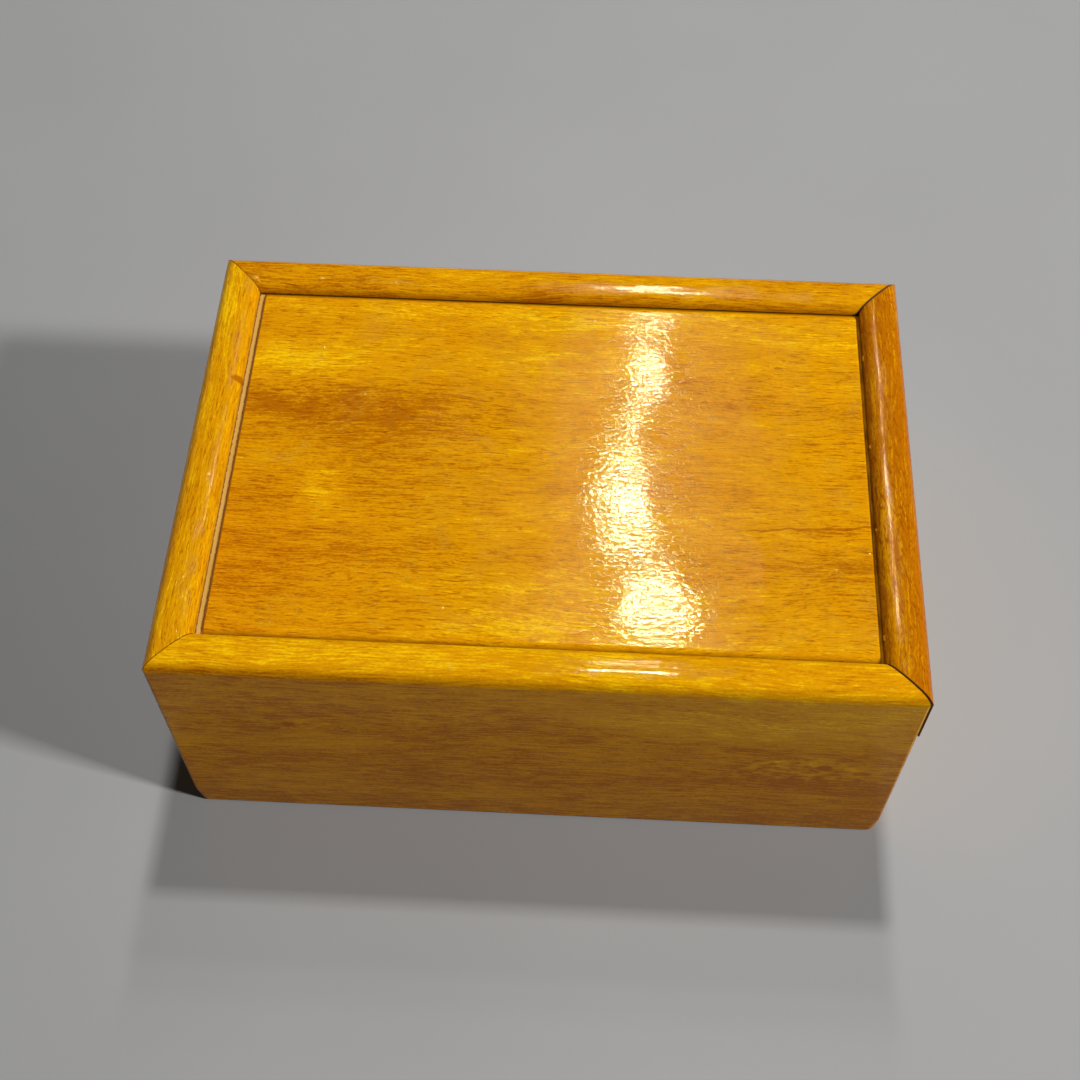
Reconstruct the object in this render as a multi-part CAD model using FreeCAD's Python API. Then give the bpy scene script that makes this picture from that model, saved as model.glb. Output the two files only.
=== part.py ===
import FreeCAD, Part
import math
import os

# Sliding-lid puzzle box in varnished hardwood, in millimetres.
# Origin: centre of the footprint, on the surface the box stands on.
# +X points to the end where the lid slides out, +Y to the rear, +Z up.

V = FreeCAD.Vector

# --- driving dimensions -------------------------------------------------------------------------
LENGTH = 200.0               # outside, along X
WIDTH = 140.0                # outside, along Y
HEIGHT = 84.0                # outside, to the crown of the rim
WALL = 11.5                  # thickness of the four side boards

# pillow-shaped top edge of the side boards
CROWN_IN = 5.6               # from the outer face to the highest line
CROWN_RADIUS = 16.0          # of the gently domed middle
OUTER_ROUND = 3.4            # radius where the dome meets the outer face
INNER_ROUND = 3.0            # radius where the dome meets the inner face

# edges sanded after the box is glued up
CORNER_EASE = 1.0            # four upright corners
CORNER_EASE_FOOT = 3.0       # the same corners where they meet the table
CORNER_FLARE = 9.0           # height over which they grow rounder
FOOT_EASE = 1.2              # lower outside edges
PARTING_EASE = 0.4           # outside edges above and below the end rail's parting line

# end rail: the top strip of the right-hand end, which moves with the lid
RAIL_HEIGHT = 21.0
RAIL_GAP = 0.3               # air between the rail and the fixed board below it

# lid panel
LID_OPEN = 0.6               # how far the lid stands open at rest
LID_DROP = 2.8               # from the crown of the rim to the panel's upper face
LID_THICK = 8.0
TONGUE_STEP = 0.9            # the edge tongues lie this far below the upper face
BEVEL_WIDTH = 2.0            # of the eased front and rear edges
FIELD_MARGIN = 0.2           # from the rim's inner edge to the foot of the bevel
LEFT_GAP = 2.1               # from the left board to the panel's upper face, at rest
RIGHT_GAP = 0.8              # from the panel's upper face to the end rail
BEVEL_EASE = 1.0             # where the bevels meet the panel's upper face
RIGHT_EASE = 0.7             # of the panel's upper right edge
LEFT_EASE = 0.25             # of the panel's upper left edge

# grooves for the lid and the floor
GROOVE_DEPTH = 6.0
GROOVE_AIR = 0.2             # above and below the lid's tongues
SIDE_AIR = 0.7               # beyond the lid's tongues, for the wood to move
FLOOR_THICK = 5.0
FLOOR_HEIGHT = 4.0           # underside of the floor above the table
FLOOR_AIR = 0.3              # beyond the floor's edges

# tongue and pegs that join the panel to the end rail
RAIL_TONGUE_THICK = 3.5
RAIL_TONGUE_RISE = 0.5       # from the panel's underside to the tongue's
RAIL_TONGUE_Y = 56.0         # half the tongue's width
PEG_RADIUS = 2.0
PEG_HEIGHT = 15.5
PEG_SPACING = 40.0

# splines glued into the corner mitres
SPLINE_THICK = 3.0
SPLINE_WIDTH = 9.0
SPLINE_IN = 7.6              # from each outer face to the middle of the spline
SPLINE_LOW = 14.0
SPLINE_HIGH_LEFT = 66.0
SPLINE_HIGH_RIGHT = 56.0     # the right-hand corners end at the parting line

# hidden lock: loose pins in the walls, holes in the ends of a batten under the lid
BATTEN_X = -30.0             # middle of the batten at rest
BATTEN_WIDTH = 22.0
BATTEN_THICK = 9.2
BATTEN_AIR = 0.8             # from each end of the batten to the wall
BATTEN_EASE = 1.5
PIN_RADIUS = 2.0
PIN_LENGTH = 8.0
PIN_EASE = 0.5
PIN_SETBACK = 0.8            # a free pin stands this far inside its bore
PIN_RUNNING = 0.1            # radial clearance in the bore
BORE_DEPTH = 9.0
LOCK_PLAY = 0.8              # radial clearance in the batten's holes
LOCK_HOLE_DEPTH = 4.0

# countersunk screws that hold the batten
SCREW_SPACING = 42.0
SCREW_SHANK = 1.5            # radius
SCREW_HEAD = 3.0             # radius
SCREW_HEAD_DEPTH = 1.8
SCREW_SINK = 0.5             # head below the batten's surface
SCREW_BITE = 5.0             # into the panel
SLOT_WIDTH = 0.9
SLOT_DEPTH = 0.8

# --- places that follow from them -----------------------------------------------------------------
HALF_L, HALF_W = LENGTH / 2, WIDTH / 2
INNER_L, INNER_W = HALF_L - WALL, HALF_W - WALL
PARTING = HEIGHT - RAIL_HEIGHT
LID_TOP = HEIGHT - LID_DROP
LID_UNDER = LID_TOP - LID_THICK
TONGUE_TOP = LID_TOP - TONGUE_STEP
FIELD_LEFT = -INNER_L + LEFT_GAP
FIELD_RIGHT = INNER_L + LID_OPEN - RIGHT_GAP
TONGUE_Y = INNER_W + GROOVE_DEPTH - SIDE_AIR
BATTEN_UNDER = LID_UNDER - BATTEN_THICK
BATTEN_END = INNER_W - BATTEN_AIR
PIN_Z = LID_UNDER - BATTEN_THICK / 2
SCREW_ROW = (-SCREW_SPACING, 0, SCREW_SPACING)
PEG_ROW = (-PEG_SPACING, 0, PEG_SPACING)
OUTSIDE = 1.5 * LENGTH       # safely beyond the box


def block(low, high):
    """Box between two opposite corners."""
    size = [b - a for a, b in zip(low, high)]
    return Part.makeBox(*size, V(*low))


def prism(points, run):
    """Outline through points, extruded along run."""
    outline = Part.makePolygon([V(*p) for p in points] + [V(*points[0])])
    return Part.Face(outline).extrude(V(*run))


def turned(shape, angle):
    """Copy of a shape turned about the box's upright centre line."""
    copy = shape.copy()
    copy.rotate(V(0, 0, 0), V(0, 0, 1), angle)
    return copy


def moved(shape, x=0, y=0, z=0):
    copy = shape.copy()
    copy.translate(V(x, y, z))
    return copy


def eased(shape, radius, chosen):
    """Round the edges whose middle point passes the test."""
    edges = [edge for edge in shape.Edges if chosen(edge.CenterOfMass)]
    return shape.makeFillet(radius, edges)


def upright(point):
    """Is this the middle of one of the box's upright outside corners?"""
    return abs(abs(point.x) - HALF_L) + abs(abs(point.y) - HALF_W) < 0.01


def rod(radius, length, end, direction):
    """Round bar that starts at end."""
    return Part.makeCylinder(radius, length, V(*end), V(*direction))


def wall_bar(length, outer):
    """Front side board whose outer face is at y = -outer, before its ends are cut."""
    def on_dome(inward):
        drop = CROWN_RADIUS - math.sqrt(CROWN_RADIUS ** 2 - (inward - CROWN_IN) ** 2)
        return V(0, inward - outer, HEIGHT - drop)

    dome = Part.Arc(on_dome(0), on_dome(CROWN_IN), on_dome(WALL)).toShape()
    sides = Part.makePolygon([on_dome(WALL), V(0, WALL - outer, 0), V(0, -outer, 0), on_dome(0)])
    bar = Part.Face(Part.Wire([dome] + sides.Edges)).extrude(V(length, 0, 0))
    bar = eased(bar, OUTER_ROUND, lambda c: c.z > HEIGHT / 2 and abs(c.y + outer) < 0.01)
    return eased(bar, INNER_ROUND, lambda c: c.z > HEIGHT / 2 and abs(c.y - WALL + outer) < 0.01)


def envelope():
    """Outside of the finished box below its rim: eased corners and lower edges."""
    upper = block((-HALF_L, -HALF_W, CORNER_FLARE), (HALF_L, HALF_W, HEIGHT + 1))
    lower = block((-HALF_L, -HALF_W, 0), (HALF_L, HALF_W, CORNER_FLARE))
    corners = [edge for edge in lower.Edges if upright(edge.CenterOfMass)]
    lower = lower.makeFillet(CORNER_EASE_FOOT, CORNER_EASE, corners)
    solid = eased(upper, CORNER_EASE, upright).fuse(lower).removeSplitter()
    return eased(solid, FOOT_EASE, lambda c: c.z < 0.01)


def mitred_wall(half_length, outer, angle):
    """Full-height side board with mitred ends, turned to its side of the box."""
    bar = moved(wall_bar(2 * half_length, outer), x=-half_length)
    inner = half_length - WALL
    trapezium = [(-half_length, -outer, 0), (half_length, -outer, 0),
                 (inner, WALL - outer, 0), (-inner, WALL - outer, 0)]
    bar = bar.common(prism(trapezium, (0, 0, HEIGHT + 1)))
    return turned(bar, angle).common(envelope())


def lid_channel():
    """Space cut from the walls for the lid's tongues, open to the right."""
    side = INNER_W + GROOVE_DEPTH
    return block((-INNER_L - GROOVE_DEPTH, -side, LID_UNDER - GROOVE_AIR),
                 (OUTSIDE, side, TONGUE_TOP + GROOVE_AIR))


def floor_channel():
    along, side = INNER_L + GROOVE_DEPTH, INNER_W + GROOVE_DEPTH
    return block((-along, -side, FLOOR_HEIGHT), (along, side, FLOOR_HEIGHT + FLOOR_THICK))


def corner_spline(x_side, y_side):
    """Loose tongue across the mitre of one corner."""
    high = SPLINE_HIGH_LEFT if x_side < 0 else SPLINE_HIGH_RIGHT
    half_w, half_t = SPLINE_WIDTH / 2, SPLINE_THICK / 2
    spline = turned(block((-half_w, -half_t, SPLINE_LOW), (half_w, half_t, high)), -45 * x_side * y_side)
    return moved(spline, x_side * (HALF_L - SPLINE_IN), y_side * (HALF_W - SPLINE_IN))


def pin_bore(side):
    """Blind bore in the front (-1) or rear (1) wall."""
    return rod(PIN_RADIUS + PIN_RUNNING, BORE_DEPTH, (BATTEN_X, side * INNER_W, PIN_Z), (0, side, 0))


def lock_pin(side):
    start = (BATTEN_X, side * (INNER_W + PIN_SETBACK), PIN_Z)
    pin = rod(PIN_RADIUS, PIN_LENGTH, start, (0, side, 0))
    return pin.makeFillet(PIN_EASE, [edge for edge in pin.Edges if edge.Closed])


def side_wall(side, splines):
    """Front (-1) or rear (1) board."""
    board = mitred_wall(HALF_L, HALF_W, 0 if side < 0 else 180)
    return board.cut([lid_channel(), floor_channel(), pin_bore(side)] + splines)


def left_end(splines):
    board = mitred_wall(HALF_W, HALF_L, -90)
    return board.cut([lid_channel(), floor_channel()] + splines)


def right_end(splines):
    """Fixed lower board of the end where the lid leaves."""
    board = mitred_wall(HALF_W, HALF_L, 90)
    board = board.common(block((0, -OUTSIDE, 0), (OUTSIDE, OUTSIDE, PARTING)))
    board = board.cut([floor_channel()] + splines)
    return eased(board, PARTING_EASE, lambda c: c.z > PARTING - 0.01 and c.x > HALF_L - 0.01)


def floor_board():
    along = INNER_L + GROOVE_DEPTH - FLOOR_AIR
    side = INNER_W + GROOVE_DEPTH - FLOOR_AIR
    return block((-along, -side, FLOOR_HEIGHT), (along, side, FLOOR_HEIGHT + FLOOR_THICK))


def rail_tongue():
    """Tongue at the panel's right end, as deep in the rail as the groove."""
    low = LID_UNDER + RAIL_TONGUE_RISE
    return block((FIELD_RIGHT - 1, -RAIL_TONGUE_Y, low),
                 (INNER_L + LID_OPEN + GROOVE_DEPTH, RAIL_TONGUE_Y, low + RAIL_TONGUE_THICK))


def rail_pegs():
    """Pegs driven up through the rail and the panel's tongue."""
    x = INNER_L + LID_OPEN + GROOVE_DEPTH / 2
    return [rod(PEG_RADIUS, PEG_HEIGHT, (x, y, PARTING + RAIL_GAP), (0, 0, 1)) for y in PEG_ROW]


def end_rail():
    """Top strip of the right-hand end, grooved for the panel."""
    rail = mitred_wall(HALF_W, HALF_L, 90)
    rail = rail.common(block((0, -OUTSIDE, PARTING + RAIL_GAP), (OUTSIDE, OUTSIDE, HEIGHT + 1)))
    rail = eased(rail, PARTING_EASE, lambda c: c.z < PARTING + RAIL_GAP + 0.01 and c.x > HALF_L - 0.01)
    return moved(rail, x=LID_OPEN).cut([rail_tongue()] + rail_pegs())


def lid_panel(cutters):
    """Solid panel: raised field, tongues for the wall grooves and for the end rail."""
    foot = INNER_W - FIELD_MARGIN
    edge = foot - BEVEL_WIDTH
    section = [(0, -TONGUE_Y, LID_UNDER), (0, TONGUE_Y, LID_UNDER), (0, TONGUE_Y, TONGUE_TOP),
               (0, foot, TONGUE_TOP), (0, edge, LID_TOP), (0, -edge, LID_TOP),
               (0, -foot, TONGUE_TOP), (0, -TONGUE_Y, TONGUE_TOP)]
    field = moved(prism(section, (FIELD_RIGHT - FIELD_LEFT, 0, 0)), x=FIELD_LEFT)
    top_edge = (lambda c: c.z > LID_TOP - 0.01 and abs(c.x - FIELD_RIGHT) < 0.01)
    field = eased(field, BEVEL_EASE, lambda c: c.z > LID_TOP - 0.01 and abs(abs(c.y) - edge) < 0.01)
    field = eased(field, RIGHT_EASE, top_edge)
    field = eased(field, LEFT_EASE, lambda c: c.z > LID_TOP - 0.01 and abs(c.x - FIELD_LEFT) < 0.01)
    tongue_end = -INNER_L - GROOVE_DEPTH + SIDE_AIR + LID_OPEN
    left_tongue = block((tongue_end, -TONGUE_Y, LID_UNDER), (FIELD_LEFT + 1, TONGUE_Y, TONGUE_TOP))
    return field.fuse([left_tongue, rail_tongue()]).removeSplitter().cut(cutters)


def batten_screw(y):
    """Countersunk screw driven up through the batten into the panel, without its slot."""
    base = BATTEN_UNDER + SCREW_SINK
    neck, tip = base + SCREW_HEAD_DEPTH, LID_UNDER + SCREW_BITE
    outline = [(0, 0, base), (SCREW_HEAD, 0, base), (SCREW_SHANK, 0, neck),
               (SCREW_SHANK, 0, tip - SCREW_SHANK), (0, 0, tip), (0, 0, base)]
    screw = Part.Face(Part.makePolygon([V(*p) for p in outline])).revolve(V(0, 0, 0), V(0, 0, 1), 360)
    return moved(screw, BATTEN_X, y)


def screw_slot(y):
    low = BATTEN_UNDER + SCREW_SINK
    return block((BATTEN_X - SCREW_HEAD, y - SLOT_WIDTH / 2, low - 1),
                 (BATTEN_X + SCREW_HEAD, y + SLOT_WIDTH / 2, low + SLOT_DEPTH))


def lock_batten(screws):
    """Cross batten under the panel, with a lock hole in each end."""
    half = BATTEN_WIDTH / 2
    batten = block((BATTEN_X - half, -BATTEN_END, BATTEN_UNDER), (BATTEN_X + half, BATTEN_END, LID_UNDER))
    batten = eased(batten, BATTEN_EASE, lambda c: c.z < BATTEN_UNDER + 0.01 and abs(c.y) < 1)
    holes = [rod(PIN_RADIUS + LOCK_PLAY, LOCK_HOLE_DEPTH, (BATTEN_X, s * BATTEN_END, PIN_Z), (0, -s, 0))
             for s in (-1, 1)]
    sinks = [rod(SCREW_HEAD, SCREW_SINK, (BATTEN_X, y, BATTEN_UNDER), (0, 0, 1)) for y in SCREW_ROW]
    return batten.cut(holes + sinks + screws)


def parts():
    """Every node of the box, by name."""
    ends, sides = {-1: "left", 1: "right"}, {-1: "front", 1: "rear"}
    splines = {f"spline_{sides[y]}_{ends[x]}": corner_spline(x, y) for y in sides for x in ends}
    cut_for = list(splines.values())
    screws = [batten_screw(y) for y in SCREW_ROW]
    nodes = dict(splines)
    for side, name in sides.items():
        nodes[f"{name}_board"] = side_wall(side, cut_for)
        nodes[f"lock_pin_{name}"] = lock_pin(side)
    nodes["left_end_board"] = left_end(cut_for)
    nodes["right_end_board"] = right_end(cut_for)
    nodes["bottom_panel"] = floor_board()
    nodes["lid_end_rail"] = end_rail()
    nodes["lid_panel"] = lid_panel(rail_pegs() + screws)
    nodes["rail_pegs"] = Part.makeCompound(rail_pegs())
    nodes["lock_batten"] = lock_batten(screws)
    nodes["batten_screws"] = Part.makeCompound([screw.cut(screw_slot(y)) for screw, y in zip(screws, SCREW_ROW)])
    return nodes


os.makedirs("parts", exist_ok=True)
for name, shape in parts().items():
    shape.exportStep(f"parts/{name}.step")
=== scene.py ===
import math

import bpy
from mathutils import Matrix, Vector


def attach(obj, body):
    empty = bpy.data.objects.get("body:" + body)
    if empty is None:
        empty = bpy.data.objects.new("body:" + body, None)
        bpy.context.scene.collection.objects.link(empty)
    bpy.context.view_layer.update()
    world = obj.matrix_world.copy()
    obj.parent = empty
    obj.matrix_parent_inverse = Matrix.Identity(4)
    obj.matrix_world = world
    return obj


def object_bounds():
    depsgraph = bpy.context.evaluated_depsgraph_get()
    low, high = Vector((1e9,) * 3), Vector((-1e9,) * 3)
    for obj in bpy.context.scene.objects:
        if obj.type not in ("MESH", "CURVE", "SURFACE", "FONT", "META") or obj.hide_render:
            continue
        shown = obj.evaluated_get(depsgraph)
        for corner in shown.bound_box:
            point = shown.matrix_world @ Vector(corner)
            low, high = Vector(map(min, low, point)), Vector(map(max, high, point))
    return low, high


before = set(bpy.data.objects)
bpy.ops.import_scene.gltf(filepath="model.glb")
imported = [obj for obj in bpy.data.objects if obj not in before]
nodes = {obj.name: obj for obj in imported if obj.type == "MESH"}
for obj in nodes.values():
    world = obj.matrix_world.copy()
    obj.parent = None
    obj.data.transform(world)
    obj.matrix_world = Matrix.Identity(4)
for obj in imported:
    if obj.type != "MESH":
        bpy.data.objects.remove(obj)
cad_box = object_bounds()


# --- Camera -------------------------------------------------------------------------------------
# A person standing at the front of the table holds the camera half a metre from the box and looks
# down on it, a little from the right.
SENSOR = 0.036
FOCAL = 0.05267
CAMERA_PLACE = Vector((0.0117, -0.2529, 0.4376))
CAMERA_TURN, CAMERA_DOWN, CAMERA_ROLL = (math.radians(angle) for angle in (3.12, 57.39, -0.23))

bpy.ops.object.camera_add()
camera = bpy.context.object
camera.name = "camera"
camera.data.sensor_width = SENSOR * 1000
camera.data.lens = FOCAL * 1000
camera.matrix_world = (Matrix.Translation(CAMERA_PLACE) @ Matrix.Rotation(CAMERA_TURN, 4, "Z")
                       @ Matrix.Rotation(math.pi / 2 - CAMERA_DOWN, 4, "X")
                       @ Matrix.Rotation(CAMERA_ROLL, 4, "Z"))
bpy.context.scene.camera = camera
bpy.context.scene.view_settings.view_transform = "Standard"


# --- Studio light -------------------------------------------------------------------------------
# A broken row of lamps high behind the box shines back in its varnish, one lamp overhead catches
# the rounded rim, a soft lamp stands at the right, and a large dim panel lifts the shaded sides.
LAMP_ROW_Z = 1.28
LAMP_ROW = ((0.080, 1.060, 0.032, 0.030), (0.086, 0.985, 0.038, 0.080),    # x, y, width, length
            (0.066, 0.905, 0.030, 0.024), (0.056, 0.800, 0.056, 0.120), (0.092, 0.655, 0.070, 0.070))
ROW_GLOW = 310.0                                                           # watts per square metre
FILL_COLOUR, FILL_STRENGTH = (1.0, 0.97, 0.92, 1.0), 0.020


def lamp(name, place, size, watts, aim=None):
    """Rectangular lamp at a place, turned to aim at a point, or straight down."""
    bpy.ops.object.light_add(type="AREA", location=place)
    light = bpy.context.object
    light.name = name
    light.data.shape = "RECTANGLE"
    light.data.size, light.data.size_y = size
    light.data.energy = watts
    if aim is not None:
        light.rotation_euler = (Vector(aim) - Vector(place)).to_track_quat("-Z", "Y").to_euler()


for count, (row_x, row_y, width, length) in enumerate(LAMP_ROW):
    lamp(f"row_lamp_{count}", (row_x, row_y, LAMP_ROW_Z), (width, length), ROW_GLOW * width * length)
lamp("top_lamp", place=(0.075, 0.42, 1.45), size=(0.09, 0.09), watts=8.5)
lamp("side_lamp", place=(1.95, -0.62, 1.66), size=(0.24, 0.24), watts=60.0, aim=(0, 0, 0.03))
lamp("rear_panel", place=(-1.3, 0.9, 0.7), size=(1.0, 0.7), watts=0.5, aim=(0, 0, 0))

world = bpy.data.worlds.new("studio")
world.use_nodes = True
background = world.node_tree.nodes["Background"]
background.inputs["Color"].default_value = FILL_COLOUR
background.inputs["Strength"].default_value = FILL_STRENGTH
bpy.context.scene.world = world


# --- Table --------------------------------------------------------------------------------------
# A plain pale table top for the box to stand on. It is painted matt, and the paint has a faint
# cloudiness.
TABLE_SIZE = 6.0
TABLE_DARK = (0.29, 0.289, 0.287, 1.0)
TABLE_PALE = (0.325, 0.324, 0.321, 1.0)
TABLE_ROUGHNESS = 0.55


class Value:
    """A number or a vector on its way through a finish, which can be added to, scaled and compared."""

    def __init__(self, finish, socket):
        self.finish = finish
        self.socket = socket

    def maths(self, operation, *numbers):
        return self.finish.add("ShaderNodeMath", {"operation": operation}, dict(enumerate(numbers)))

    def __add__(self, other):
        return self.maths("ADD", self, other)

    def __sub__(self, other):
        return self.maths("SUBTRACT", self, other)

    def __rsub__(self, other):
        return self.maths("SUBTRACT", other, self)

    def __mul__(self, other):
        return self.maths("MULTIPLY", self, other)

    def __abs__(self):
        return self.maths("ABSOLUTE", self)

    __radd__ = __add__
    __rmul__ = __mul__

    def at_least(self, other):
        return self.maths("MAXIMUM", self, other)

    def at_most(self, other):
        return self.maths("MINIMUM", self, other)

    def rise(self, start, end):
        """0 before start and 1 past end, with a smooth step between them."""
        return self.finish.add("ShaderNodeMapRange", {"interpolation_type": "SMOOTHSTEP"},
                               {"Value": self, "From Min": start, "From Max": end})


class Finish:
    """A material and the nodes that make it, all on the coordinates of the object itself."""

    def __init__(self, name):
        self.material = bpy.data.materials.new(name)
        self.material.use_nodes = True
        self.tree = self.material.node_tree
        self.shader = self.tree.nodes["Principled BSDF"]
        self.place = self.add("ShaderNodeTexCoord", out="Object")
        self.x, self.y, self.z = self.axes(self.place)

    def add(self, kind, settings=None, inputs=None, out=0):
        """Any node: its settings first, then the values or links of its sockets."""
        node = self.tree.nodes.new(kind)
        for name, value in (settings or {}).items():
            setattr(node, name, value)
        self.feed(node, inputs or {})
        return Value(self, node.outputs[out])

    def feed(self, node, inputs):
        for key, value in inputs.items():
            if isinstance(value, Value):
                self.tree.links.new(value.socket, node.inputs[key])
            else:
                node.inputs[key].default_value = value

    def mix(self, factor, first, second, blend="MIX"):
        return self.add("ShaderNodeMix", {"data_type": "RGBA", "blend_type": blend},
                        {0: factor, 6: first, 7: second}, out=2)

    def vector(self, operation, first, second, out=0):
        return self.add("ShaderNodeVectorMath", {"operation": operation}, {0: first, 1: second}, out)

    def axes(self, where):
        """The three numbers of a place."""
        return [self.add("ShaderNodeSeparateXYZ", None, {0: where}, out=axis) for axis in range(3)]

    def joined(self, x, y, z):
        return self.add("ShaderNodeCombineXYZ", None, {0: x, 1: y, 2: z})

    def noise(self, where, scale, detail=2.0, roughness=0.5):
        """Cloudy pattern from 0 to 1, with this many clouds per metre along each axis."""
        spread = self.vector("MULTIPLY", where, scale)
        return self.add("ShaderNodeTexNoise", None, {"Vector": spread, "Scale": 1.0, "Detail": detail,
                                                     "Roughness": roughness})

    def spot(self, centre, reach, edge=0.3):
        """1 around a place, falling to 0 at this reach along each axis."""
        offset = self.vector("DIVIDE", self.vector("SUBTRACT", self.place, centre), reach)
        return self.vector("LENGTH", offset, (0, 0, 0), out="Value").rise(1.0, edge)

    def spots(self, marks, edge=0.3):
        """The sum of several spots, each given by its centre, its reach and its strength."""
        total = 0.0
        for centre, reach, strength in marks:
            total = self.spot(centre, reach, edge) * strength + total
        return total

    def close(self, colour, roughness, height=None, **settings):
        """Hand the finish to the shader, with its fixed settings."""
        for name, value in settings.items():
            self.shader.inputs[name.replace("_", " ")].default_value = value
        self.feed(self.shader, {"Base Color": colour, "Roughness": roughness})
        if height is not None:
            normal = self.add("ShaderNodeBump", None,
                              {"Strength": 1.0, "Distance": 1.0, "Height": height})
            self.feed(self.shader, {"Normal": normal})

    def wear(self, *names):
        """Put the finish on CAD nodes."""
        for name in names:
            nodes[name].data.materials.clear()
            nodes[name].data.materials.append(self.material)


bpy.ops.mesh.primitive_plane_add(size=TABLE_SIZE)
table = bpy.context.object
table.name = "table"
paint = Finish("table_top")
cloud = paint.noise(paint.place, (9, 9, 9), detail=3.0)
paint.close(paint.mix(cloud, TABLE_DARK, TABLE_PALE), TABLE_ROUGHNESS)
table.data.materials.append(paint.material)


# --- Bottom panel -------------------------------------------------------------------------------
# A plain sawn and sanded panel, held in grooves and never varnished, with the grain along the box.
# It shows inside the open box and from below.
BARE_DARK = (0.46, 0.26, 0.085, 1.0)
BARE_WOOD = (0.62, 0.40, 0.17, 1.0)
BARE_PALE = (0.76, 0.54, 0.27, 1.0)
BARE_SHEEN = 0.3
RAW_PORE_DEPTH, SANDING_DEPTH = 0.00004, 0.000012
SANDED_ROUGHNESS, SANDED_SPREAD = 0.52, 0.15


def along_grain(finish, axis, shift):
    """The place on a board, turned so that x runs with the grain, and moved to its own wood."""
    turn = 0.0 if axis == "X" else math.pi / 2
    return finish.add("ShaderNodeMapping", {"vector_type": "POINT"},
                      {"Vector": finish.place, "Rotation": (0, 0, turn), "Location": shift})


def wandering(finish, grain, sway, ripple):
    """Bend straight grain sideways, slowly by sway and quickly by ripple, in metres."""
    x, y, z = finish.axes(grain)
    slow = finish.noise(grain, (13, 26, 26), detail=1.0) - 0.5
    quick = finish.noise(grain, (70, 85, 85), detail=2.0) - 0.5
    calm = finish.noise(grain, (22, 34, 34), detail=1.0).rise(0.35, 0.65)
    drift = slow * sway + quick * calm * ripple
    return finish.joined(x, y + drift, z + drift)


def wood_grain(finish, axis, shift, figure=1.0, tone=0.0, sway=0.010, ripple=0.0030, pore_length=240,
               fibre=1.35):
    """Figure of a fine-pored hardwood. Gives its lightness around 0.5, its open pores and its grain."""
    grain = along_grain(finish, axis, shift)
    bent = wandering(finish, grain, sway, ripple)
    bands = finish.noise(bent, (5, 62, 62), detail=2.0) - 0.5
    clouds = finish.noise(grain, (22, 50, 50), detail=3.0, roughness=0.6) - 0.5
    flames = finish.noise(bent, (60, 260, 260), detail=2.0, roughness=0.6) - 0.5
    fibres = finish.noise(bent, (110, 1700, 1700), detail=3.0, roughness=0.6) - 0.5
    flecks = finish.noise(bent, (900, 2400, 2400), detail=1.0) - 0.5
    shade = (bands + clouds * 0.65 + flames * 0.6) * figure + fibres * fibre + flecks * 0.6 + (0.5 + tone)
    pores = finish.noise(bent, (pore_length, 2900, 2900), detail=2.0, roughness=0.5)
    return shade, pores.rise(0.46, 0.32), grain


def bare_wood(finish, shade, pores):
    """Colour of the same wood where it was never stained."""
    low = finish.mix(shade.rise(0.0, 0.5), BARE_DARK, BARE_WOOD)
    colour = finish.mix(shade.rise(0.5, 1.0), low, BARE_PALE)
    return finish.mix(pores * 0.5, colour, BARE_DARK)


panel = Finish("bare_floor")
shade, pores, grain = wood_grain(panel, "X", (0.9, 0.11, 0.4))
sanding = panel.noise(panel.place, (90, 4200, 900), detail=2.0)
panel.close(bare_wood(panel, shade, pores), SANDED_ROUGHNESS + sanding * SANDED_SPREAD,
            sanding * SANDING_DEPTH - pores * RAW_PORE_DEPTH, Specular_IOR_Level=BARE_SHEEN)
panel.wear("bottom_panel")


# --- Side boards --------------------------------------------------------------------------------
# Four boards with a pillow-shaped top edge, mitred at the corners. They are stained honey orange
# and brushed with several coats of gloss varnish outside; their inner faces and grooves are bare.
# The darkest stained wood, also used as painted shade beside the left end of the lid's field.
DARK_WOOD_AND_SHADE = (0.42, 0.125, 0.0010, 1.0)
GOLD_WOOD = (0.67, 0.283, 0.0015, 1.0)
PALE_WOOD = (0.91, 0.54, 0.0030, 1.0)
PORE_STAIN = (0.66, 0.50, 0.32, 1.0)
# The seam dark is the real dark of the mitre joints, and also painted shade in the lid's gaps.
SEAM_AND_SHADE_DARK = (0.085, 0.026, 0.001, 1.0)
# The gap shade brown is painted shade on bare faces down in the narrow gaps.
GAP_SHADE_BROWN = (0.20, 0.075, 0.006, 1.0)
HALF_LENGTH, HALF_WIDTH = -cad_box[0][0], -cad_box[0][1]
RIM_LOW = 0.0800                                    # the wood is bare inside the box below this height
SWELL_DEPTH, BRUSH_DEPTH, PEEL_DEPTH = 0.00034, 0.000011, 0.000019
NIB_DEPTH, PORE_DEPTH = 0.000030, 0.000006
GLOSS_ROUGHNESS, PORE_ROUGHNESS, BARE_ROUGHNESS = 0.035, 0.02, 0.5


def stained(finish, shade, pores):
    """Colour of the wood under stain and varnish."""
    low = finish.mix(shade.rise(0.0, 0.5), DARK_WOOD_AND_SHADE, GOLD_WOOD)
    colour = finish.mix(shade.rise(0.5, 1.0), low, PALE_WOOD)
    return finish.mix(pores, colour, finish.mix(1.0, colour, PORE_STAIN, "MULTIPLY"))


def varnish_height(finish, grain, pores, swell=1.0):
    """Surface of the brushed varnish: slow swells, faint brush ripples, sunken pores and dust nibs."""
    slow = finish.noise(grain, (26, 30, 30), detail=1.0)
    brushed = finish.noise(grain, (150, 800, 800), detail=1.0)
    peel = finish.noise(grain, (620, 1050, 1050), detail=1.0)
    dust = finish.noise(finish.place, (1500, 1500, 1500), detail=0.0)
    return (slow * (SWELL_DEPTH * swell) + brushed * BRUSH_DEPTH + peel * PEEL_DEPTH
            + dust.rise(0.66, 0.80) * NIB_DEPTH - pores * PORE_DEPTH)


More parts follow.
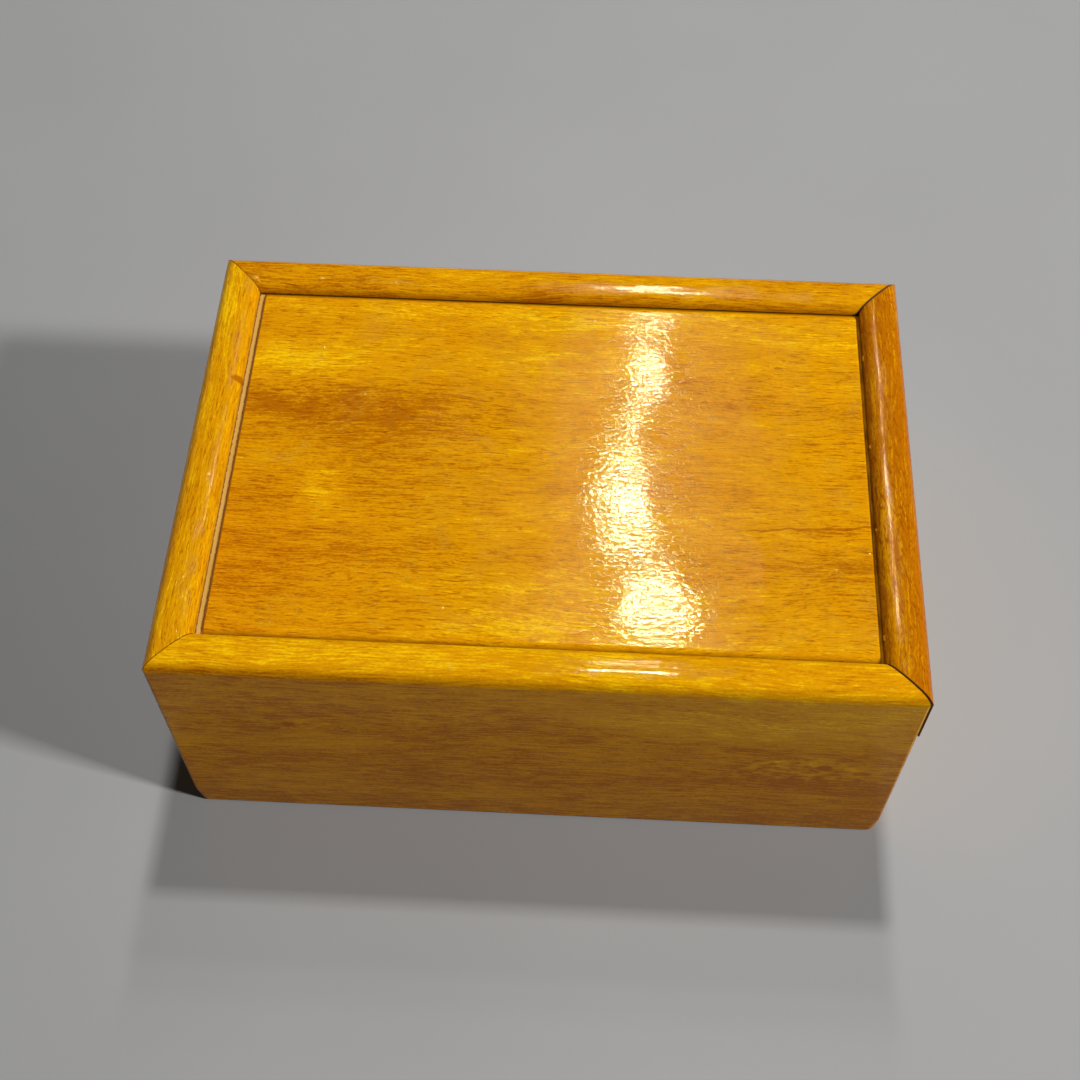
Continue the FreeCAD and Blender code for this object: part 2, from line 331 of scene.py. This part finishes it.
def close_varnish(finish, colour, bare_colour, bare, pores, height, gloss=0.19,
                  tint=(0.86, 1.0, 0.55, 1.0)):
    """Join the varnished coat and the bare wood, and hand both to the shader."""
    roughness = GLOSS_ROUGHNESS + pores * PORE_ROUGHNESS + bare * BARE_ROUGHNESS
    finish.close(finish.mix(bare, colour, bare_colour), roughness, height,
                 Specular_IOR_Level=gloss, Specular_Tint=tint)


def wall_masks(finish, half_length):
    """Three masks on the walls: bare wood, the faces of the mitres, and the seams between them."""
    from_end = half_length - abs(finish.x)
    from_side = HALF_WIDTH - abs(finish.y)
    inward = from_end.at_most(from_side)
    off_mitre = abs(from_end - from_side)
    inside = inward.rise(0.0038, 0.0042) * finish.z.rise(RIM_LOW + 0.0002, RIM_LOW)
    mitre_face = (off_mitre.rise(0.00006, 0.00002) * inward.rise(0.0002, 0.0004)
                  * finish.x.rise(0.02, 0.03))
    bare = inside.at_least(mitre_face).at_least(finish.z.rise(0.0004, 0.0001))
    return bare, mitre_face, off_mitre.rise(0.00026, 0.00012)


def finish_wall(finish, board, shade, pores, grain, half_length=HALF_LENGTH, swell=1.0, **varnish):
    """Stain and varnish one side board, with its bare inner face and its dark mitre seams."""
    bare, mitre_face, seam = wall_masks(finish, half_length)
    colour = finish.mix(seam * 0.85, stained(finish, shade, pores), SEAM_AND_SHADE_DARK)
    # The bare faces of the open mitres are painted dark brown: painted shade in the gap.
    raw = finish.mix(mitre_face * 0.7, bare_wood(finish, shade, pores), GAP_SHADE_BROWN)
    height = varnish_height(finish, grain, pores, swell)
    close_varnish(finish, colour, raw, bare, pores, height, **varnish)
    finish.wear(board)


FRONT_KNOTS = (((-0.066, -0.07, 0.0545), (0.0022, 0.01, 0.0014), 1.0),     # centre, reach, strength
               ((0.079, -0.07, 0.042), (0.0030, 0.01, 0.0022), 1.0))
FRONT_CURLS = (((0.072, -0.07, 0.040), (0.030, 0.05, 0.012), 1.0),
               ((-0.064, -0.07, 0.0545), (0.020, 0.05, 0.007), 0.5))

front = Finish("varnished_front_board")
face = front.y.rise(-0.0680, -0.0695)
rim = 1.0 - face
# Painted light: the upper right of the front face is lighter, where the side lamp falls.
painted_light_corner = front.spot((0.07, -0.07, 0.078), (0.10, 0.05, 0.038))
swirls = (front.noise(front.place, (260, 300, 520), detail=2.0) - 0.5) * front.spots(FRONT_CURLS)
shade, pores, grain = wood_grain(front, "X", (0.0, 0.17, 0.05), figure=0.75, sway=0.008, ripple=0.0012)
pores = pores * (front.noise(front.place, (20, 60, 60)).rise(0.4, 0.7) * 0.7 + 0.3)
shade = shade + swirls * 1.7 - front.spots(FRONT_KNOTS) * 0.75
shade = shade + rim * 0.17 - front.x.rise(-0.02, 0.09) * rim * 0.12
# Painted shade: the front face is darker than the rim and darker still towards the bottom, with the
# painted light at its upper right corner.
shade = shade + (painted_light_corner * 0.12 - front.z.rise(0.085, 0.015) * 0.20 - 0.12) * face
finish_wall(front, "front_board", shade, pores, grain, gloss=0.08, tint=(0.90, 0.90, 0.45, 1.0))

rear = Finish("varnished_rear_board")
shade, pores, grain = wood_grain(rear, "X", (0.31, 0.17, 0.05), tone=-0.22)
finish_wall(rear, "rear_board", shade, pores, grain)

left = Finish("varnished_left_end")
rim_knot = left.spot((-0.0885, 0.024, 0.0825), (0.004, 0.0016, 0.004))
shade, pores, grain = wood_grain(left, "Y", (0.62, 0.17, 0.05), tone=-0.02, figure=0.8)
finish_wall(left, "left_end_board", shade - rim_knot * 0.9, pores, grain, swell=2.2)

right = Finish("varnished_right_end")
shade, pores, grain = wood_grain(right, "Y", (0.93, 0.17, 0.05), tone=-0.15)
finish_wall(right, "right_end_board", shade, pores, grain)


# --- Corner splines -----------------------------------------------------------------------------
# Thin loose tongues of a plain straight-grained wood, glued across the mitres and hidden in them.
JOINT_WOOD = (0.50, 0.30, 0.115, 1.0)
JOINT_PALE = (0.62, 0.41, 0.19, 1.0)
FIBRE_DEPTH = 0.00003


def joint_wood(name, scale):
    """Plain straight-grained wood, sawn and left raw."""
    finish = Finish(name)
    fibres = finish.noise(finish.place, scale, detail=3.0, roughness=0.6)
    sawn = finish.noise(finish.place, (700, 700, 700), detail=2.0)
    finish.close(finish.mix(fibres.rise(0.3, 0.7), JOINT_WOOD, JOINT_PALE), 0.55 + sawn * 0.15,
                 fibres * FIBRE_DEPTH, Specular_IOR_Level=BARE_SHEEN)
    return finish


joint_wood("spline_wood", (260, 260, 2200)).wear("spline_front_left", "spline_front_right",
                                                 "spline_rear_left", "spline_rear_right")


# --- Lid panel ----------------------------------------------------------------------------------
# One wide board with lively figure, varnished on its raised field and bare on its tongues. The
# narrow gaps around the field, the foot of the field's edges and both sides of the bare ledge at
# its left end are painted dark: painted shade.
LEDGE = (0.50, 0.25, 0.030, 1.0)
LEDGE_PALE = (0.64, 0.38, 0.100, 1.0)
WARM_STAIN = (1.0, 0.86, 0.9, 1.0)
FIELD_RIGHT, FIELD_FOOT = 0.0883, 0.0803
LID_DARK = (((-0.060, 0.017, 0.08), (0.100, 0.016, 0.05), 0.26),           # centre, reach, strength
            ((-0.045, 0.000, 0.08), (0.035, 0.014, 0.05), 0.156))
LID_GOLD = (((-0.070, 0.034, 0.08), (0.032, 0.012, 0.05), 0.16),
            ((-0.062, -0.012, 0.08), (0.009, 0.014, 0.05), 0.30),
            ((0.000, -0.045, 0.08), (0.06, 0.026, 0.05), 0.16))

lid = Finish("varnished_lid_panel")
figure = lid.spots(LID_GOLD, edge=0.0) - lid.spots(LID_DARK, edge=0.0) + lid.y.rise(0.000, 0.050) * 0.16
line_y = lid.x * 0.080 - 0.0240 + (lid.noise(lid.place, (130, 0, 0), detail=1.0) - 0.5) * 0.0024
line = (abs(lid.y - line_y).rise(0.00040, 0.00010) * lid.x.rise(0.048, 0.062)
        + abs(lid.y - line_y + 0.0010).rise(0.0022, 0.0) * lid.x.rise(0.055, 0.075) * 0.35)
shade, pores, grain = wood_grain(lid, "X", (0.02, 0.43, 0.0), tone=-0.09, figure=0.8, fibre=1.15)
shade = shade + figure - lid.x.rise(0.0, 0.06) * 0.06 - line * 0.55
# Painted shade: the field's edges darken towards their foot, next to the rails.
depth = lid.z.rise(0.0811, FIELD_FOOT)
colour = lid.mix(depth * 0.75, stained(lid, shade, pores), SEAM_AND_SHADE_DARK)
warm = lid.spot((-0.085, -0.035, 0.08), (0.060, 0.045, 0.05), edge=0.0)
colour = lid.mix(warm * 0.8, colour, lid.mix(1.0, colour, WARM_STAIN, "MULTIPLY"))
# The bare ledge at the left end is a lit strip, with painted shade in the crevices at both its sides.
rough_edge = (lid.noise(lid.place, (500, 900, 500), detail=2.0) - 0.5) * 0.0008
ledge_x = lid.x + rough_edge
ledge = ledge_x.rise(-0.0884, -0.0882) * ledge_x.rise(-0.0871, -0.0872)
tongue = lid.mix(ledge, GAP_SHADE_BROWN, lid.mix(lid.noise(lid.place, (300, 90, 300)), LEDGE, LEDGE_PALE))
tongue = lid.mix(ledge_x.rise(-0.0869, -0.0867), tongue, DARK_WOOD_AND_SHADE)
upper = lid.z.rise(0.0799, 0.0801)
# Painted shade on the tongue tops in the narrow front and rear gaps.
painted_gap_shade = abs(lid.y).rise(0.0579, 0.0581) * abs(lid.y).rise(0.0588, 0.0586) * upper
on_ledge = upper * lid.x.rise(-0.0858, -0.0860) * lid.x.rise(-0.0895, -0.0893)
bare_colour = lid.mix(on_ledge, bare_wood(lid, shade, pores), tongue)
bare_colour = lid.mix(painted_gap_shade, bare_colour, SEAM_AND_SHADE_DARK)
# Painted shade in the gap between the field's right end and the rail.
painted_rail_gap_shade = lid.x.rise(FIELD_RIGHT - 0.0012, FIELD_RIGHT - 0.0002) * lid.z.rise(0.074, 0.0765)
bare_colour = lid.mix(painted_rail_gap_shade, bare_colour, GAP_SHADE_BROWN)
bare = lid.z.rise(FIELD_FOOT + 0.0001, FIELD_FOOT)
close_varnish(lid, colour, bare_colour, bare, pores, varnish_height(lid, grain, pores))
lid.wear("lid_panel")


# --- Lid end rail -------------------------------------------------------------------------------
# The top strip of the right-hand end travels with the lid. Its wood is darker than the rest, with
# short slanting pores.
RAIL_END = cad_box[1][0]

rail = Finish("varnished_end_rail")
shade, pores, grain = wood_grain(rail, "Y", (0.6, 0.27, 0.1), tone=-0.42, figure=0.8, pore_length=520)
slant = rail.noise(rail.joined(rail.x + rail.y * 0.25, rail.y, rail.z), (1500, 300, 900), detail=2.0)
dashes = slant.rise(0.44, 0.34) * rail.noise(rail.place, (60, 60, 60)).rise(0.35, 0.6)
finish_wall(rail, "lid_end_rail", shade - dashes * 0.3, pores.at_least(dashes * 0.7), grain, RAIL_END,
            swell=1.6, gloss=0.11, tint=(0.95, 0.95, 0.50, 1.0))


# --- Rail pegs ----------------------------------------------------------------------------------
# Three round pegs of the same plain wood as the splines lock the panel's tongue in the rail. They
# are driven in from below, where their ends show.
joint_wood("peg_wood", (1500, 1500, 180)).wear("rail_pegs")


# --- Lock batten --------------------------------------------------------------------------------
# A bare cross batten under the lid, with the grain across the box. Its ends and the rims of its
# two lock holes are darkened by handling and steel.
batten = Finish("bare_batten")
shade, pores, grain = wood_grain(batten, "Y", (1.2, 0.5, 0.2), tone=0.05)
rubbed = abs(batten.y).rise(0.0570, 0.0577)
sanding = batten.noise(batten.place, (3600, 90, 900), detail=2.0)
colour = batten.mix(rubbed * 0.5, bare_wood(batten, shade, pores), BARE_DARK)
batten.close(colour, BARE_ROUGHNESS + sanding * SANDED_SPREAD - rubbed * 0.1,
             sanding * SANDING_DEPTH - pores * RAW_PORE_DEPTH, Specular_IOR_Level=BARE_SHEEN)
batten.wear("lock_batten")


# --- Batten screws ------------------------------------------------------------------------------
# Three slotted countersunk brass screws, turned, a little tarnished, and scratched by the driver.
BRASS = (0.78, 0.55, 0.22, 1.0)
BRASS_TARNISH = (0.42, 0.26, 0.10, 1.0)

brass = Finish("screw_brass")
tarnish = brass.noise(brass.place, (420, 420, 420), detail=3.0)
scratches = brass.noise(brass.place, (4000, 500, 500), detail=2.0)
colour = brass.mix(tarnish.rise(0.4, 0.75), BRASS, BRASS_TARNISH)
brass.close(colour, 0.28 + tarnish * 0.2, scratches * 0.000008, Metallic=1.0)
brass.wear("batten_screws")


# --- Lock pins ----------------------------------------------------------------------------------
# Two ground steel pins lie loose in blind holes of the front and rear boards, under a light film
# of oil.
STEEL = (0.56, 0.57, 0.58, 1.0)
STEEL_OILED = (0.40, 0.39, 0.37, 1.0)

steel = Finish("pin_steel")
film = steel.noise(steel.place, (600, 600, 600), detail=3.0)
ground = steel.noise(steel.place, (900, 9000, 900), detail=2.0)
colour = steel.mix(film.rise(0.4, 0.7), STEEL, STEEL_OILED)
steel.close(colour, 0.22 + film * 0.14, ground * 0.000004, Metallic=1.0)
steel.wear("lock_pin_front", "lock_pin_rear")


# --- Gap varnish and painted shade --------------------------------------------------------------
# Varnish has run into the narrow gap between the panel's field and the rail that moves with it,
# and set as a dark amber strip a little below the surface. Its dark colour also stands in for the
# shade down in the gap: painted shade.
STRIP_SIZE, STRIP_PLACE = (0.00076, 0.1164, 0.0010), (0.0887, 0.0, 0.0799)
STRIP_TOP = STRIP_PLACE[2] + STRIP_SIZE[2] / 2
STRIP_LIP, STRIP_DISH, STRIP_ROUND = 0.00018, 0.00022, 0.00007
GAP_FILL_SHADE_DARK = (0.17, 0.055, 0.002, 1.0)
GAP_FILL_SHADE_PALE = (0.40, 0.16, 0.005, 1.0)


def choose_faces(piece, chosen):
    """In edit mode, select the faces whose centre passes the test, and nothing else."""
    bpy.ops.object.mode_set(mode="OBJECT")
    for face in piece.data.polygons:
        face.select = chosen(face.center)
    bpy.ops.object.mode_set(mode="EDIT")


bpy.ops.object.select_all(action="DESELECT")
bpy.ops.mesh.primitive_cube_add(size=1.0)
bpy.ops.transform.resize(value=STRIP_SIZE)
bpy.ops.transform.translate(value=STRIP_PLACE)
bpy.ops.object.transform_apply(location=True, rotation=True, scale=True)
gap_strip = bpy.context.object
gap_strip.name = "gap_varnish_and_shade"
bpy.ops.object.mode_set(mode="EDIT")
bpy.ops.mesh.select_mode(type="FACE")
choose_faces(gap_strip, lambda centre: centre.z > STRIP_TOP - 0.00001)
bpy.ops.mesh.inset(thickness=STRIP_LIP, depth=0.0)
bpy.ops.transform.translate(value=(0, 0, -STRIP_DISH))
bpy.ops.mesh.bevel(offset=STRIP_ROUND, segments=2, affect="EDGES")
bpy.ops.object.mode_set(mode="OBJECT")
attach(gap_strip, "lid")

gap_fill = Finish("amber_gap_fill_and_shade")
run = gap_fill.noise(gap_fill.place, (900, 160, 900), detail=3.0)
gap_fill.close(gap_fill.mix(run.rise(0.35, 0.7), GAP_FILL_SHADE_DARK, GAP_FILL_SHADE_PALE), 0.10 + run * 0.10, run * 0.0001,
             Specular_IOR_Level=0.08, Specular_Tint=(1.0, 0.80, 0.40, 1.0))
gap_strip.data.materials.append(gap_fill.material)


# --- Varnish drops ------------------------------------------------------------------------------
# Beads of varnish that ran together while the box was drying: a drop on the rear rail beside the
# left mitre, and a few along the inner edge of the rail that moves with the lid.
BOX_DROPS = (((-0.0900, 0.0617, 0.08352), (0.0013, 0.0010, 0.00045)),      # centre, radii
             ((-0.0888, 0.0604, 0.08330), (0.0006, 0.0005, 0.00040)))
LID_DROPS = (((0.0893, -0.0512, 0.0817), (0.00035, 0.0009, 0.0004)),
             ((0.0893, -0.0180, 0.0816), (0.00030, 0.0006, 0.0003)),
             ((0.0893, 0.0095, 0.0817), (0.00035, 0.0007, 0.0004)),
             ((0.0893, 0.0410, 0.0817), (0.00035, 0.0011, 0.0004)))
BEAD_FLAT = (0, 0, -0.7)                                                   # on a sphere of radius 1
BEAD_DARK = (0.62, 0.22, 0.002, 1.0)
BEAD_PALE = (0.80, 0.36, 0.004, 1.0)


def drops(name, beads, body):
    """One object made of flattened beads, cut flat below where they sink into the wood."""
    pieces = []
    for centre, radii in beads:
        bpy.ops.object.select_all(action="DESELECT")
        bpy.ops.mesh.primitive_uv_sphere_add(segments=32, ring_count=16, radius=1.0)
        bpy.ops.object.mode_set(mode="EDIT")
        bpy.ops.mesh.bisect(plane_co=BEAD_FLAT, plane_no=(0, 0, 1), use_fill=True, clear_inner=True)
        bpy.ops.mesh.select_all(action="SELECT")
        bpy.ops.transform.resize(value=radii, center_override=(0, 0, 0))
        bpy.ops.transform.translate(value=centre)
        bpy.ops.object.mode_set(mode="OBJECT")
        bpy.ops.object.shade_smooth_by_angle()
        pieces.append(bpy.context.object)
    for piece in pieces:
        piece.select_set(True)
    bpy.context.view_layer.objects.active = pieces[0]
    bpy.ops.object.join()
    cluster = bpy.context.object
    cluster.name = name
    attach(cluster, body)
    return cluster


amber = Finish("varnish_bead")
thin = amber.noise(amber.place, (1200, 1200, 1200), detail=2.0)
amber.close(amber.mix(thin.rise(0.35, 0.65), BEAD_DARK, BEAD_PALE), 0.04 + thin * 0.04, thin * 0.00002,
            Specular_IOR_Level=0.5)
for cluster in (drops("varnish_drops_box", BOX_DROPS, "box"),
                drops("varnish_drops_lid", LID_DROPS, "lid")):
    cluster.data.materials.append(amber.material)
